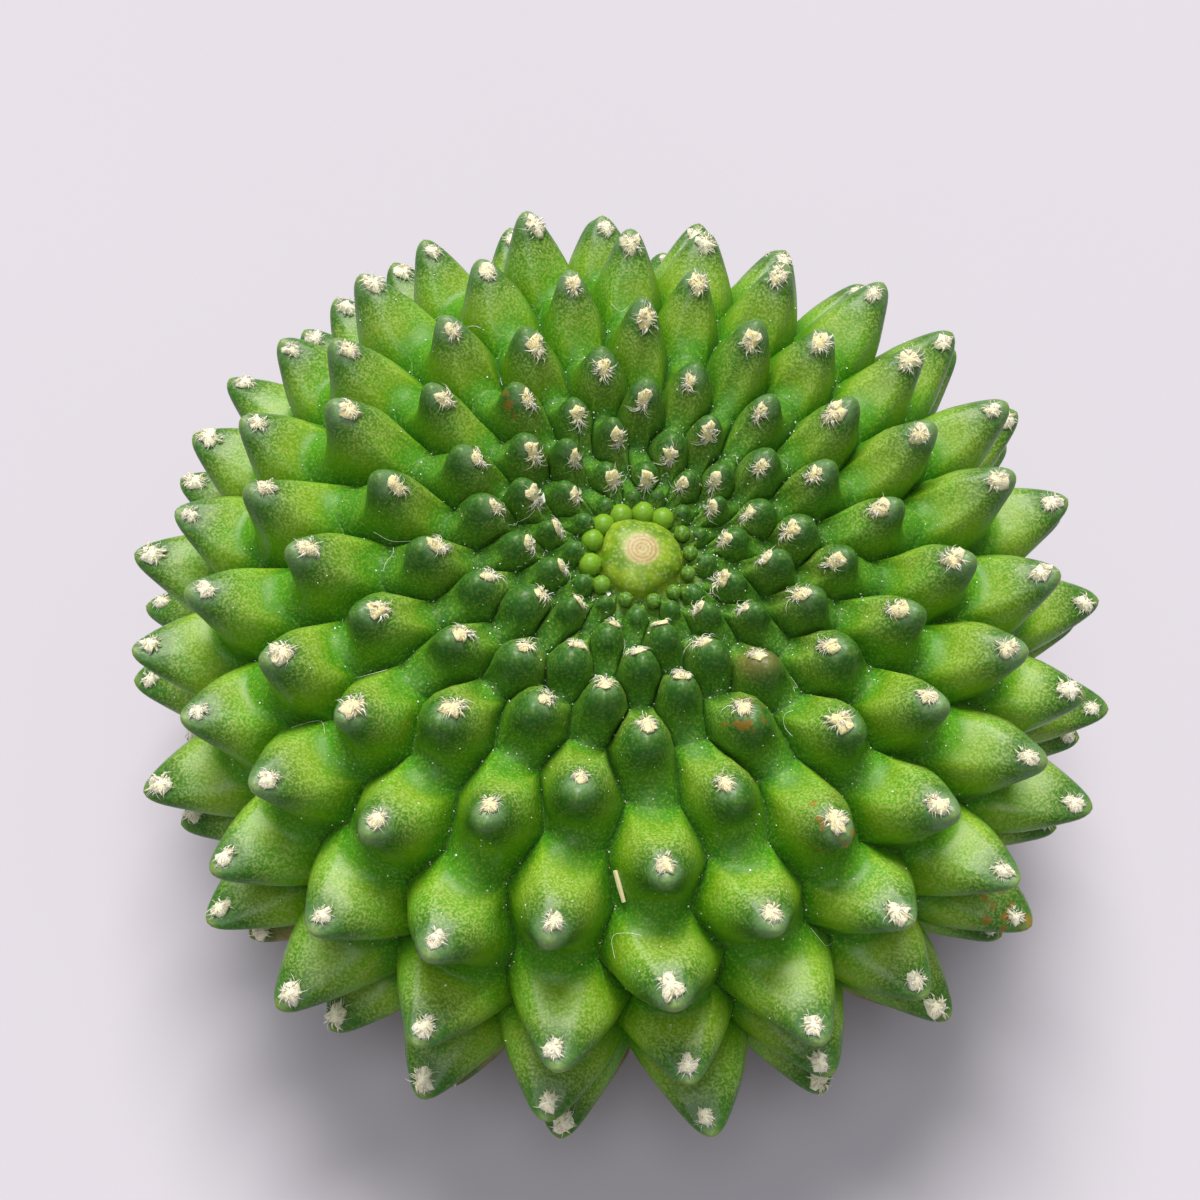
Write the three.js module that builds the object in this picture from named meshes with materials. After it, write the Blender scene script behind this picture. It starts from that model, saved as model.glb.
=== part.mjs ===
// A chin cactus: one squat, spineless Gymnocalycium stem, lifted from its pot and resting on its
// corky underside. Millimetres, +Z up. The origin is the middle of the flat spot it rests on.
//
// The stem is one closed surface. A round core carries 26 ribs in two staggered sets of 13, and
// every rib is a string of tubercles, the "chins". Each tubercle stands on an eight-cornered field
// of the core that it shares with its neighbours: walls rise from narrow grooves, swell, run in to
// a blunt nose, and carry a woolly areole on the side that faces the crown.

import * as THREE from 'three';

// ---- Driving dimensions -------------------------------------------------------------------

const ROWS = 16; // rings of tubercles from the crown down to the underside
const PER_ROW = 13; // tubercles in one ring; the next ring stands in its gaps
const RIBS = 2 * PER_ROW;
const STEM_HEIGHT = 37; // flat spot to the plane of the crown's tips

// The outline of the stem, at every second ring from inside the crown outwards and down: where
// the noses are (radius, and drop below the crown's plane), how long a tubercle is from its
// groove to its nose, and how far its axis leans up from level.
const OUTLINE = [
  { ring: -2, radius: 2.5, drop: 2.4, length: 0.9, lean: 88 },
  { ring: 0, radius: 5.2, drop: 1.3, length: 2.0, lean: 85 },
  { ring: 2, radius: 10.4, drop: 0.1, length: 4.2, lean: 80 },
  { ring: 4, radius: 16.8, drop: -0.1, length: 5.3, lean: 70 },
  { ring: 6, radius: 26.2, drop: 1.2, length: 6.7, lean: 52 },
  { ring: 8, radius: 34.6, drop: 5.6, length: 8.0, lean: 37 },
  { ring: 10, radius: 39.0, drop: 12.0, length: 8.9, lean: 21 },
  { ring: 12, radius: 40.0, drop: 19.2, length: 9.0, lean: 5 },
  { ring: 14, radius: 37.4, drop: 25.8, length: 8.2, lean: -12 },
  { ring: 16, radius: 31.8, drop: 30.8, length: 6.4, lean: -30 },
  { ring: 18, radius: 24.4, drop: 34.0, length: 4.2, lean: -46 },
  { ring: 20, radius: 16.0, drop: 35.8, length: 1.6, lean: -60 },
];

// Every pair below holds for the round beads inside the crown and for the teeth of the rim. A
// tubercle changes from one to the other on its way out from ring 0 to TEETH_BY_RING.
const TEETH_BY_RING = 7;

// The shape of one tubercle.
const BELLY = [2.3, 1.25]; // how long the walls keep their width before they run in
const CROWN_BELLY = [0.07, 0.35]; // how much longer they do so on the side that faces the crown
const NOSE = [0.52, 0.8]; // a half is blunt, and one is a straight cone
const NOSE_RADIUS = [0, 0.65]; // how round the very tip is, in mm
const HOOK = 0.07; // shift of the nose towards the crown, as a share of the length
const WALL_INSET = 0.97; // walls stand this much inside their field, so the grooves stay open
const BELLY_INSET = [0.9, 1]; // the same for the round part above the groove
const ROUND_BY = 0.6; // share of the length by which the field's corners have gone
const DEPTH_LIMIT = 1.15; // most depth along the rib for one unit of width across it

// The fields: half the width of a saddle in thirds of a rib, and the heights of the groove floor
// and of the saddle on the rib, as shares of a tubercle's length.
const SADDLE_WIDTH = [0.8, 1.2];
const GROOVE_FLOOR = 0.1;
const SADDLE_HEIGHT = [0.12, 0.34];
const GROOVE_START = 1.5; // how flat a wall starts out from a groove
const SADDLE_START = 2.8; // and from a saddle, which it leaves almost level
const SADDLE_PINCH = 1.2; // how much a wall draws in just above its saddle

// Where the facets break between groove and nose. The large tubercles have one break more.
const WALL_STEPS = [0.42, 0.8];
const LARGE_WALL_STEPS = [0.3, 0.6, 0.85];
const LARGE_RINGS = [4, 12];
const AREOLE_AT = 0.9; // place of the areole on the side that faces the crown
const AREOLE_RISE = 0.6; // the wool cushion stands this proud, in mm
const AREOLE_RISE_SHARE = 0.1; // but no more than this share of a small tubercle's length

// Growth is uneven: no two tubercles quite match, and the ribs wander.
const RIB_TWIST = THREE.MathUtils.degToRad(0.85); // how far each ring turns on from the last
const FRONT_SPREAD = 0.1; // the ribs of the -Y side are this much wider than the others
const RIB_WANDER = [0.035, 0.014]; // radians
const RING_DRIFT = [0.2, 0.1]; // rings
const DRIFT_BY_RING = 3; // the first rings lie true round the button
const LENGTH_SPREAD = [0.2, 0.12];
const TURN_SPREAD = 0.022; // radians
const LEAN_SPREAD = [0.05, 0.1]; // radians

// The smooth growing point, ring by ring inwards. The first ring has as many sides as the edge
// of the first tubercles that it runs in from.
const BUTTON = [
  { radius: 3.2, drop: 2.6 },
  { radius: 3.0, drop: 1.6, sides: 26 },
  { radius: 2.0, drop: 1.15, sides: 13 },
];
const BUTTON_TOP_DROP = 1.0;

// The corky underside, ring by ring down to the flat spot.
const CORK = [
  { radius: 24.2, drop: 29.6, sides: 52 },
  { radius: 19.5, drop: 34.3, sides: 39 },
  { radius: 15.8, drop: 36.5, sides: 24 },
  { radius: 13.5, drop: STEM_HEIGHT, sides: 24 },
];

// ---- The outline between its stations -----------------------------------------------------

/** One value of the outline at any ring, on a smooth curve through the stations. */
function outlineAt(ring, key) {
  const spacing = OUTLINE[1].ring - OUTLINE[0].ring;
  const along = (ring - OUTLINE[0].ring) / spacing;
  const index = THREE.MathUtils.clamp(Math.floor(along), 0, OUTLINE.length - 2);
  const t = along - index;
  const at = (i) => OUTLINE[THREE.MathUtils.clamp(i, 0, OUTLINE.length - 1)][key];
  const [a, b, c, d] = [at(index - 1), at(index), at(index + 1), at(index + 2)];
  const slopeIn = (c - a) / 2;
  const slopeOut = (d - b) / 2;
  const bend = t * t * (3 - 2 * t);
  return (
    b * (1 - bend) + c * bend + slopeIn * t * (1 - t) * (1 - t) - slopeOut * t * t * (1 - t)
  );
}

/** The same uneven number from -1 to 1 each time for one tubercle and one purpose. */
function uneven(ring, rib, purpose) {
  const wave = Math.sin(ring * 12.9898 + rib * 78.233 + purpose * 37.719) * 43758.5453;
  return 2 * (wave - Math.floor(wave)) - 1;
}

/** A point from its radius, its angle round the stem and its drop below the crown's plane. */
function place(radius, angle, drop) {
  return new THREE.Vector3(
    radius * Math.cos(angle),
    radius * Math.sin(angle),
    STEM_HEIGHT - drop,
  );
}

/** The direction that leans up from level by `lean`, facing out at `angle`. */
function leaning(angle, lean) {
  return new THREE.Vector3(
    Math.cos(lean) * Math.cos(angle),
    Math.cos(lean) * Math.sin(angle),
    Math.sin(lean),
  );
}

/** A value that changes from the crown's beads to the rim's teeth. */
function fromBeadToTooth([bead, tooth], ring) {
  return THREE.MathUtils.lerp(bead, tooth, THREE.MathUtils.smoothstep(ring, 0, TEETH_BY_RING));
}

/** The angle round the stem of a place counted in thirds of a rib, on a given ring. */
function angleOf(thirds, ring) {
  const even = (thirds * 2 * Math.PI) / (3 * RIBS) + ring * RIB_TWIST;
  const spread = FRONT_SPREAD * Math.cos(even);
  const slow = Math.sin(2 * even + 1.9 * ring);
  const quick = 0.7 * Math.sin(5 * even - 1.1 * ring + 1);
  return even + spread + fromBeadToTooth(RIB_WANDER, ring) * (slow + quick);
}

/** The ring that really grows at a place, a little before or after the one that is due. */
function drifted(ring, angle) {
  const slow = Math.sin(3 * angle + 0.7 * ring);
  const quick = 0.8 * Math.sin(5 * angle - 1.3 * ring + 2);
  const fadeIn = THREE.MathUtils.smoothstep(ring, 0, DRIFT_BY_RING);
  return ring + fromBeadToTooth(RING_DRIFT, ring) * fadeIn * (slow + quick);
}

/** A point of the core's skin, where grooves run, raised along the tubercles by a share. */
function groovePoint(ring, angle, share) {
  const grown = drifted(ring, angle);
  const lean = THREE.MathUtils.degToRad(outlineAt(grown, 'lean'));
  const length = outlineAt(grown, 'length');
  const nose = place(outlineAt(grown, 'radius'), angle, outlineAt(grown, 'drop'));
  return nose.addScaledVector(leaning(angle, lean), -length * (1 - share));
}

// ---- The surface as it is built up --------------------------------------------------------

const vertices = [];
const triangles = [];
const grooveIndex = new Map();

/** Adds a vertex and returns its number. */
function addVertex(point) {
  vertices.push(point.x, point.y, point.z);
  return vertices.length / 3 - 1;
}

/** A groove vertex, made once and shared by the fields that meet there. */
function grooveVertex(ring, thirds) {
  const around = THREE.MathUtils.euclideanModulo(thirds, 3 * RIBS);
  const key = `${ring}:${around}`;
  if (!grooveIndex.has(key)) {
    const rib = Math.round(around / 3);
    const side = around - 3 * rib;
    const share = side === 0 ? fromBeadToTooth(SADDLE_HEIGHT, ring) : GROOVE_FLOOR;
    const angle = angleOf(3 * rib + side * fromBeadToTooth(SADDLE_WIDTH, ring), ring);
    grooveIndex.set(key, addVertex(groovePoint(ring, angle, share)));
  }
  return grooveIndex.get(key);
}

/** The vertex with a given number, as a point. */
function pointOf(index) {
  return new THREE.Vector3().fromArray(vertices, 3 * index);
}

/** A band of facets between two rings that have the same number of vertices. */
function band(lower, upper) {
  const count = lower.length;
  for (let i = 0; i < count; i += 1) {
    const next = (i + 1) % count;
    triangles.push(lower[i], lower[next], upper[next]);
    triangles.push(lower[i], upper[next], upper[i]);
  }
}

// ---- One tubercle -------------------------------------------------------------------------

// The corners of a field, in rings and thirds of a rib from its middle, counter-clockwise as
// seen from outside. The first and the fifth are the saddles along the rib.
const FIELD = [
  [1, 0],
  [1, 1],
  [0, 2],
  [-1, 1],
  [-1, 0],
  [-1, -1],
  [0, -2],
  [1, -1],
];
const SADDLE_CORNERS = [0, 4];
const CROWNWARD_CORNER = 4;

/** Raises one tubercle from its field. */
function addTubercle(ring, rib) {
  const thirds = 3 * rib;
  const duePlace = angleOf(thirds, ring);
  const grown = drifted(ring, duePlace);
  const angle = duePlace + TURN_SPREAD * uneven(ring, rib, 1);
  const evenLean = THREE.MathUtils.degToRad(outlineAt(grown, 'lean'));
  const lean = evenLean + fromBeadToTooth(LEAN_SPREAD, ring) * uneven(ring, rib, 2);
  const stretch = 1 + fromBeadToTooth(LENGTH_SPREAD, ring) * uneven(ring, rib, 3);
  const length = outlineAt(grown, 'length') * stretch;
  const axis = leaning(angle, lean);
  const crownward = leaning(angle, lean + Math.PI / 2);
  const sideways = new THREE.Vector3(-Math.sin(angle), Math.cos(angle), 0);
  const middle = groovePoint(ring, duePlace, 0);
  const evenBelly = fromBeadToTooth(BELLY, ring);
  const crownBelly = fromBeadToTooth(CROWN_BELLY, ring);
  const point = fromBeadToTooth(NOSE, ring);
  const noseRadius = fromBeadToTooth(NOSE_RADIUS, ring);
  const bellyInset = fromBeadToTooth(BELLY_INSET, ring);

  const rim = FIELD.map(([rings, side]) => grooveVertex(ring + rings, thirds + side));
  const fromMiddle = rim.map((index) => pointOf(index).sub(middle));
  const halfWidth = Math.max(...fromMiddle.map((v) => Math.abs(v.dot(sideways))));
  const halfDepth = Math.max(...fromMiddle.map((v) => Math.abs(v.dot(crownward))));
  const roundDepth = Math.min(halfDepth, DEPTH_LIMIT * halfWidth);

  /** A point of the wall above a corner of the field, from the groove (t = 0) to the nose. */
  const wallPoint = (number, t) => {
    const corner = fromMiddle[number];
    const onSaddle = SADDLE_CORNERS.includes(number);
    const across = corner.dot(sideways);
    const up = corner.dot(crownward);
    const bearing = Math.atan2(up / halfDepth, across / halfWidth);
    const belly = evenBelly * (1 + crownBelly * Math.sin(bearing));
    const cone = (1 - t ** belly) ** (2 * point);
    const tip = ((2 * noseRadius * length) / halfWidth ** 2) * (1 - t) * t ** 6;
    const pinch = onSaddle ? 1 - SADDLE_PINCH * t * (1 - t) ** 2 : 1;
    const width = Math.sqrt(cone + tip) * pinch;
    const roundness = THREE.MathUtils.smoothstep(t, 0, ROUND_BY);
    const roundAcross = halfWidth * bellyInset * Math.cos(bearing);
    const roundUp = roundDepth * bellyInset * Math.sin(bearing);
    const outAcross = THREE.MathUtils.lerp(across * WALL_INSET, roundAcross, roundness) * width;
    const outUp = THREE.MathUtils.lerp(up * WALL_INSET, roundUp, roundness) * width;
    const flatness = onSaddle ? SADDLE_START : GROOVE_START;
    const rise = length * t + corner.dot(axis) * (1 - t) ** flatness;
    return middle
      .clone()
      .addScaledVector(sideways, outAcross)
      .addScaledVector(crownward, outUp + HOOK * length * t * t)
      .addScaledVector(axis, rise);
  };

  const isLarge = ring >= LARGE_RINGS[0] && ring <= LARGE_RINGS[1];
  let lower = rim;
  for (const step of isLarge ? LARGE_WALL_STEPS : WALL_STEPS) {
    const upper = FIELD.map((_, number) => addVertex(wallPoint(number, step)));
    band(lower, upper);
    lower = upper;
  }

  // The nose, and the woolly areole on its crownward side.
  const noseVertex = addVertex(wallPoint(CROWNWARD_CORNER, 1));
  const cushion = wallPoint(CROWNWARD_CORNER, AREOLE_AT);
  const lift = crownward.clone().add(axis).normalize();
  const rise = Math.min(AREOLE_RISE, length * AREOLE_RISE_SHARE);
  const areoleVertex = addVertex(cushion.addScaledVector(lift, rise));
  const fan = (tip, first, last) => {
    for (let i = first; i !== last; i = (i + 1) % FIELD.length) {
      triangles.push(lower[i], lower[(i + 1) % FIELD.length], tip);
    }
  };
  fan(areoleVertex, 2, 6);
  fan(noseVertex, 6, 2);
  triangles.push(lower[2], areoleVertex, noseVertex);
  triangles.push(lower[6], noseVertex, areoleVertex);
}

// ---- Closing the crown and the underside --------------------------------------------------

/** The open edge inside the first ring (side -1) or below the last ring (side 1). */
function openEdge(ring, side) {
  const edge = [];
  for (let turn = 0; turn < PER_ROW; turn += 1) {
    const thirds = 3 * (2 * turn + (ring % 2));
    for (const offset of [-1, 0, 1]) {
      edge.push(grooveVertex(ring + side, thirds + offset));
    }
    for (const offset of [2, 3, 4]) {
      edge.push(grooveVertex(ring, thirds + offset));
    }
  }
  return edge;
}

/** The angle round the stem of a vertex. */
function angleOfVertex(index) {
  const point = pointOf(index);
  return Math.atan2(point.y, point.x);
}

/** A plain ring of evenly spaced vertices, or of one straight in from each vertex of the edge. */
function plainRing({ radius, drop, sides }, edge) {
  const ring = [];
  for (let i = 0; i < (sides ?? edge.length); i += 1) {
    const even = angleOfVertex(edge[0]) + (2 * Math.PI * i) / sides;
    const angle = sides ? even : angleOfVertex(edge[i]);
    ring.push(addVertex(place(radius, angle, drop)));
  }
  return ring;
}

/** Facets between two rings, both counter-clockwise, that face up or down. */
function stitch(outer, inner, facesUp) {
  const facet = (a, b, c) => triangles.push(...(facesUp ? [a, b, c] : [b, a, c]));
  let i = 0;
  let j = 0;
  while (i < outer.length || j < inner.length) {
    const outerShare = (i + 1) / outer.length;
    const innerShare = (j + 1) / inner.length;
    const a = outer[i % outer.length];
    const b = inner[j % inner.length];
    if (j >= inner.length || (i < outer.length && outerShare <= innerShare)) {
      facet(a, outer[(i + 1) % outer.length], b);
      i += 1;
    } else {
      facet(a, inner[(j + 1) % inner.length], b);
      j += 1;
    }
  }
}

/** The flat spot, cut into triangles so that one large one holds its middle. */
function fillFlat(ring) {
  const split = (first, last) => {
    if (last - first < 2) return;
    const half = Math.floor((first + last) / 2);
    const wrap = (i) => ring[i % ring.length];
    triangles.push(wrap(first), wrap(last), wrap(half));
    split(first, half);
    split(half, last);
  };
  const third = ring.length / 3;
  triangles.push(ring[0], ring[2 * third], ring[third]);
  split(0, third);
  split(third, 2 * third);
  split(2 * third, ring.length);
}

// ---- The stem -----------------------------------------------------------------------------

for (let ring = 0; ring < ROWS; ring += 1) {
  for (let turn = 0; turn < PER_ROW; turn += 1) {
    addTubercle(ring, 2 * turn + (ring % 2));
  }
}

let edge = openEdge(0, -1);
for (const station of BUTTON) {
  const next = plainRing(station, edge);
  stitch(edge, next, true);
  edge = next;
}
const buttonTop = addVertex(place(0, 0, BUTTON_TOP_DROP));
edge.forEach((vertex, i) => triangles.push(vertex, edge[(i + 1) % edge.length], buttonTop));

edge = openEdge(ROWS - 1, 1);
for (const station of CORK) {
  const next = plainRing(station, edge);
  stitch(edge, next, false);
  edge = next;
}
fillFlat(edge);

const skin = new THREE.BufferGeometry();
skin.setAttribute('position', new THREE.Float32BufferAttribute(vertices, 3));
skin.setIndex(triangles);

const stem = new THREE.Mesh(
  skin,
  new THREE.MeshStandardMaterial({ color: 0x4f8f2c, roughness: 0.42, metalness: 0 }),
);
stem.name = 'stem';

const cactus = new THREE.Group();
cactus.add(stem);

export default cactus;
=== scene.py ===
import math

import bpy
import numpy as np
from mathutils import Matrix, Vector


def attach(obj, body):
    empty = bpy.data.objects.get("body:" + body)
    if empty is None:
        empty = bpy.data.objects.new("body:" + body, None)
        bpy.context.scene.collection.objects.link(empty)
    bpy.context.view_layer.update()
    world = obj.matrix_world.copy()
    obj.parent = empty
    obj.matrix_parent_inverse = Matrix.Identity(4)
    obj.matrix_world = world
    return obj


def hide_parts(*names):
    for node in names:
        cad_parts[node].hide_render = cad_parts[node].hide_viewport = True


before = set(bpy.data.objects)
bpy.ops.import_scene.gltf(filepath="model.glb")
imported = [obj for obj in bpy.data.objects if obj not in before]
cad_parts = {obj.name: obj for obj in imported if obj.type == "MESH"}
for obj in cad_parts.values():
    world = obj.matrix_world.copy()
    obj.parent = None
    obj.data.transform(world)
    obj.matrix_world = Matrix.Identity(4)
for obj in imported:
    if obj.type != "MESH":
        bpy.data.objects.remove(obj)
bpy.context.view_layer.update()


# ---- Camera ----------------------------------------------------------------------------------
# A camera held close over the plant, a little in front of it and turned slightly, as when one
# looks down on the crown. It is placed by where the crown's middle falls in a 1200 x 1200 frame.

FRAME_SIDE = 1200
SENSOR_MM = 36
ELEVATION = math.radians(64.0)
ROLL = 0.2  # radians
FOCAL_IN_PIXELS = 1911
CROWN_IN_FRAME = (642, 549)
CROWN_TOP = np.array([0, 0, 0.0359])
CAMERA_DISTANCE = 0.1439
NEAREST_SHOWN = 0.01

camera_back = np.array([0, -math.cos(ELEVATION), math.sin(ELEVATION)])
level_right = np.array([1.0, 0, 0])
level_up = np.cross(camera_back, level_right)
camera_right = math.cos(ROLL) * level_right + math.sin(ROLL) * level_up
camera_up = math.cos(ROLL) * level_up - math.sin(ROLL) * level_right
off_right = (CROWN_IN_FRAME[0] - FRAME_SIDE / 2) / FOCAL_IN_PIXELS
off_up = (FRAME_SIDE / 2 - CROWN_IN_FRAME[1]) / FOCAL_IN_PIXELS
to_crown = -camera_back + off_right * camera_right + off_up * camera_up
camera_place = CROWN_TOP - CAMERA_DISTANCE * to_crown

lens = bpy.data.cameras.new("camera")
lens.sensor_width = SENSOR_MM
lens.lens = FOCAL_IN_PIXELS / FRAME_SIDE * SENSOR_MM
lens.clip_start = NEAREST_SHOWN
camera = bpy.data.objects.new("camera", lens)
turned = Matrix([camera_right, camera_up, camera_back]).transposed().to_4x4()
camera.matrix_world = Matrix.Translation(Vector(camera_place)) @ turned
bpy.context.scene.collection.objects.link(camera)
bpy.context.scene.camera = camera
bpy.context.scene.view_settings.view_transform = "Standard"  # shows colours as they are


# ---- Light and floor -------------------------------------------------------------------------
# A plain table top under soft window light from above and behind, a weaker lamp straight above,
# and an even room. The light wraps round the tubercles and leaves soft shadows to the front.

MM = 0.001
FLOOR_HALF_MM = 3000.0
PAINT_CLOUD_MM = 100.0
ROOM_STRENGTH = 0.23


def linear(hex_colour):
    """An sRGB hex colour as linear red, green, blue and alpha."""
    parts = [int(hex_colour[i:i + 2], 16) / 255 for i in (1, 3, 5)]
    return [c / 12.92 if c <= 0.04045 else ((c + 0.055) / 1.055) ** 2.4 for c in parts] + [1.0]


def add_node(tree, kind, sockets=None, **settings):
    """Adds a node, sets its settings, and fills its sockets with values or links."""
    node = tree.nodes.new(kind)
    for name, value in settings.items():
        setattr(node, name, value)
    for key, value in (sockets or {}).items():
        if isinstance(value, bpy.types.Node):
            value = value.outputs[0]
        if isinstance(value, bpy.types.NodeSocket):
            tree.links.new(value, node.inputs[key])
        else:
            node.inputs[key].default_value = value
    return node


def painted(tree, sources, ground, layers):
    """A ground colour under layers of others, each as strong as the product of its causes.

    A cause names a source and the two values between which the layer smoothly comes in, and may
    end with the least and the most of the layer. A source that stands alone is taken as it is.
    """
    shown = linear(ground)
    for colour, *causes in layers:
        strength = 1.0
        for name, *span in causes:
            cause = sources[name]
            if span:
                cause = add_node(
                    tree, "ShaderNodeMapRange", dict(enumerate([cause, *span])),
                    interpolation_type="SMOOTHSTEP")
            strength = add_node(
                tree, "ShaderNodeMath", {0: cause, 1: strength}, operation="MULTIPLY")
        if isinstance(colour, str):
            colour = linear(colour)
        shown = add_node(
            tree, "ShaderNodeMix", {0: strength, 6: shown, 7: colour}, data_type="RGBA").outputs[2]
    return shown


def new_material(name):
    """An empty node material, its nodes and the node that it comes out of."""
    material = bpy.data.materials.new(name)
    material.use_nodes = True
    material.node_tree.nodes.clear()
    output = material.node_tree.nodes.new("ShaderNodeOutputMaterial")
    return material, material.node_tree, output


def new_piece(name, points, faces, facts, smooth):
    """A piece from points in millimetres, with one number on every point for each fact."""
    mesh = bpy.data.meshes.new(name)
    mesh.from_pydata((points * MM).tolist(), [], faces)
    for fact, values in facts.items():
        layer = mesh.attributes.new(fact, "FLOAT", "POINT")
        layer.data.foreach_set("value", values.astype(np.float32))
    mesh.polygons.foreach_set("use_smooth", np.full(len(mesh.polygons), smooth))
    mesh.update()
    piece = bpy.data.objects.new(name, mesh)
    bpy.context.scene.collection.objects.link(piece)
    return piece


def soft_light(name, place, spread, strength, colour):
    """A light that shines from a place towards the plant, softened over a spread in degrees."""
    lamp = bpy.data.lights.new(name, "SUN")
    lamp.angle = math.radians(spread)
    lamp.energy = strength
    lamp.color = linear(colour)[:3]
    holder = bpy.data.objects.new(name, lamp)
    holder.location = place
    holder.rotation_euler = (-Vector(place)).to_track_quat("-Z", "Y").to_euler()
    bpy.context.scene.collection.objects.link(holder)


soft_light("window", place=(-0.14, 0.38, 0.55), spread=32, strength=4.0, colour="#fffdf8")
soft_light("lamp_above", place=(-0.06, -0.12, 0.6), spread=30, strength=1.0, colour="#fcfdff")

room = bpy.data.worlds.new("room")
room.use_nodes = True
room.node_tree.nodes["Background"].inputs["Color"].default_value = linear("#f6f6f8")
room.node_tree.nodes["Background"].inputs["Strength"].default_value = ROOM_STRENGTH
bpy.context.scene.world = room

# Matt emulsion paint, rolled on: an even pale grey with a breath of lilac, next to no gloss, and
# faint clouds where the roller went over twice.
paint, tree, paint_output = new_material("matt_grey_emulsion")
place = add_node(tree, "ShaderNodeTexCoord").outputs["Object"]
paint_clouds = add_node(
    tree, "ShaderNodeTexNoise",
    {"Vector": place, "Scale": 1 / (PAINT_CLOUD_MM * MM), "Detail": 3.0})
paint_colour = painted(tree, {"clouds": paint_clouds}, "#bdb8c1", [("#c0bbc4", ("clouds",))])
paint_surface = add_node(
    tree, "ShaderNodeBsdfPrincipled",
    {"Base Color": paint_colour, "Roughness": 0.85, "Specular IOR Level": 0.2})
tree.links.new(paint_surface.outputs[0], paint_output.inputs[0])

floor_corners = FLOOR_HALF_MM * np.array([(-1, -1, 0), (1, -1, 0), (1, 1, 0), (-1, 1, 0)])
floor = new_piece("floor", floor_corners, [(0, 1, 2, 3)], {}, smooth=False)
floor.data.materials.append(paint)


# ---- The stem --------------------------------------------------------------------------------
# One living cactus stem, grown as one body: 26 ribs of chin-like tubercles round a smooth button
# at the crown, and a corky foot that it rests on. It is green, water-filled flesh in a thin waxed
# skin, raised here by the same growth as the solid's, with rounder noses and finer grooves.

ROWS = 16
PER_ROW = 13
RIBS = 2 * PER_ROW
STEM_HEIGHT = 37.0
# ring, radius, drop below the crown's plane, tubercle length, lean of its axis in degrees
OUTLINE = np.array([
    (-2, 2.5, 2.4, 0.9, 88), (0, 5.2, 1.3, 2.0, 85), (2, 10.4, 0.1, 4.2, 80),
    (4, 16.8, -0.1, 5.3, 70), (6, 26.2, 1.2, 6.7, 52), (8, 34.6, 5.6, 8.0, 37),
    (10, 39.0, 12.0, 8.9, 21), (12, 40.0, 19.2, 9.0, 5), (14, 37.4, 25.8, 8.2, -12),
    (16, 31.8, 30.8, 6.4, -30), (18, 24.4, 34.0, 4.2, -46), (20, 16.0, 35.8, 1.6, -60)], float)
RADIUS, DROP, LENGTH, LEAN = 1, 2, 3, 4

# Where two numbers stand, the first is for the crown's small round tubercles and the second for
# the rim's long teeth, which have fully taken over by this ring.
TEETH_BY_RING = 7
BELLY = (2.3, 1.25)         # how far out a tubercle keeps its width
CROWN_BELLY = (0.07, 0.35)  # how much farther on the side that faces the crown
NOSE = (0.52, 0.8)          # how it closes: 0.5 is round, 1 is a cone
NOSE_RADIUS = (0, 0.65)     # rounds the very tip, in mm
HOOK = 0.07                 # bends the nose to the crown, in tubercle lengths
WALL_INSET = 0.97           # draws the walls in, so that neighbours part
WALL_INSET_BY = 0.25
BELLY_INSET = (0.9, 1.0)
ROUND_BY = 0.6              # how far out a tubercle has become round
DEPTH_LIMIT = 1.15          # its depth up the stem, in half widths
SADDLE_WIDTH = (0.8, 1.2)   # the bridge from one tubercle of a rib to the next, in thirds of a rib
SADDLE_ROUND = 0.6
GROOVE_FLOOR = 0.1          # heights along a tubercle, as parts of its length
SADDLE_HEIGHT = (0.12, 0.34)
GROOVE_START = 1.5          # how sharply a wall leaves the groove, and the saddle
SADDLE_START = 2.8
SADDLE_PINCH = 1.2          # how much a tubercle narrows over its saddles
RIB_TWIST = math.radians(0.85)
FRONT_SPREAD = 0.1          # ribs stand wider apart in front
RIB_WANDER = (0.035, 0.014)  # how far a rib bends aside, in radians
RING_DRIFT = (0.2, 0.1)     # how far a ring drifts up and down, in rings
DRIFT_BY_RING = 3
LENGTH_SPREAD = (0.2, 0.12)  # how much tubercles differ in length, and in radians of turn and lean
TURN_SPREAD = 0.022
LEAN_SPREAD = (0.05, 0.1)


def smoothstep(low, high, x):
    """A smooth rise from 0 at low to 1 at high."""
    t = np.clip((x - low) / (high - low), 0, 1)
    return t * t * (3 - 2 * t)


def bead_to_tooth(pair, ring):
    """A value that changes from the crown's small tubercles to the rim's teeth."""
    return pair[0] + (pair[1] - pair[0]) * smoothstep(0, TEETH_BY_RING, ring)


def outline_at(ring, column):
    """One value of the outline at any ring, on a smooth curve through the stations."""
    along = (ring - OUTLINE[0, 0]) / (OUTLINE[1, 0] - OUTLINE[0, 0])
    index = np.clip(np.floor(along).astype(int), 0, len(OUTLINE) - 2)
    t = along - index
    a, b, c, d = (
        OUTLINE[np.clip(index + step, 0, len(OUTLINE) - 1), column] for step in (-1, 0, 1, 2))
    bend = t * t * (3 - 2 * t)
    slopes = (c - a) / 2 * t * (1 - t) ** 2 - (d - b) / 2 * t * t * (1 - t)
    return b * (1 - bend) + c * bend + slopes


def uneven(ring, rib, purpose):
    """The same uneven number from -1 to 1 each time for one tubercle and one purpose."""
    wave = np.sin(ring * 12.9898 + rib * 78.233 + purpose * 37.719) * 43758.5453
    return 2 * (wave - np.floor(wave)) - 1


def leaning(angle, lean):
    """The direction that leans up from level by lean, facing out at angle."""
    flat = np.cos(lean)
    return np.stack([flat * np.cos(angle), flat * np.sin(angle), np.sin(lean) + 0 * angle], -1)


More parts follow.
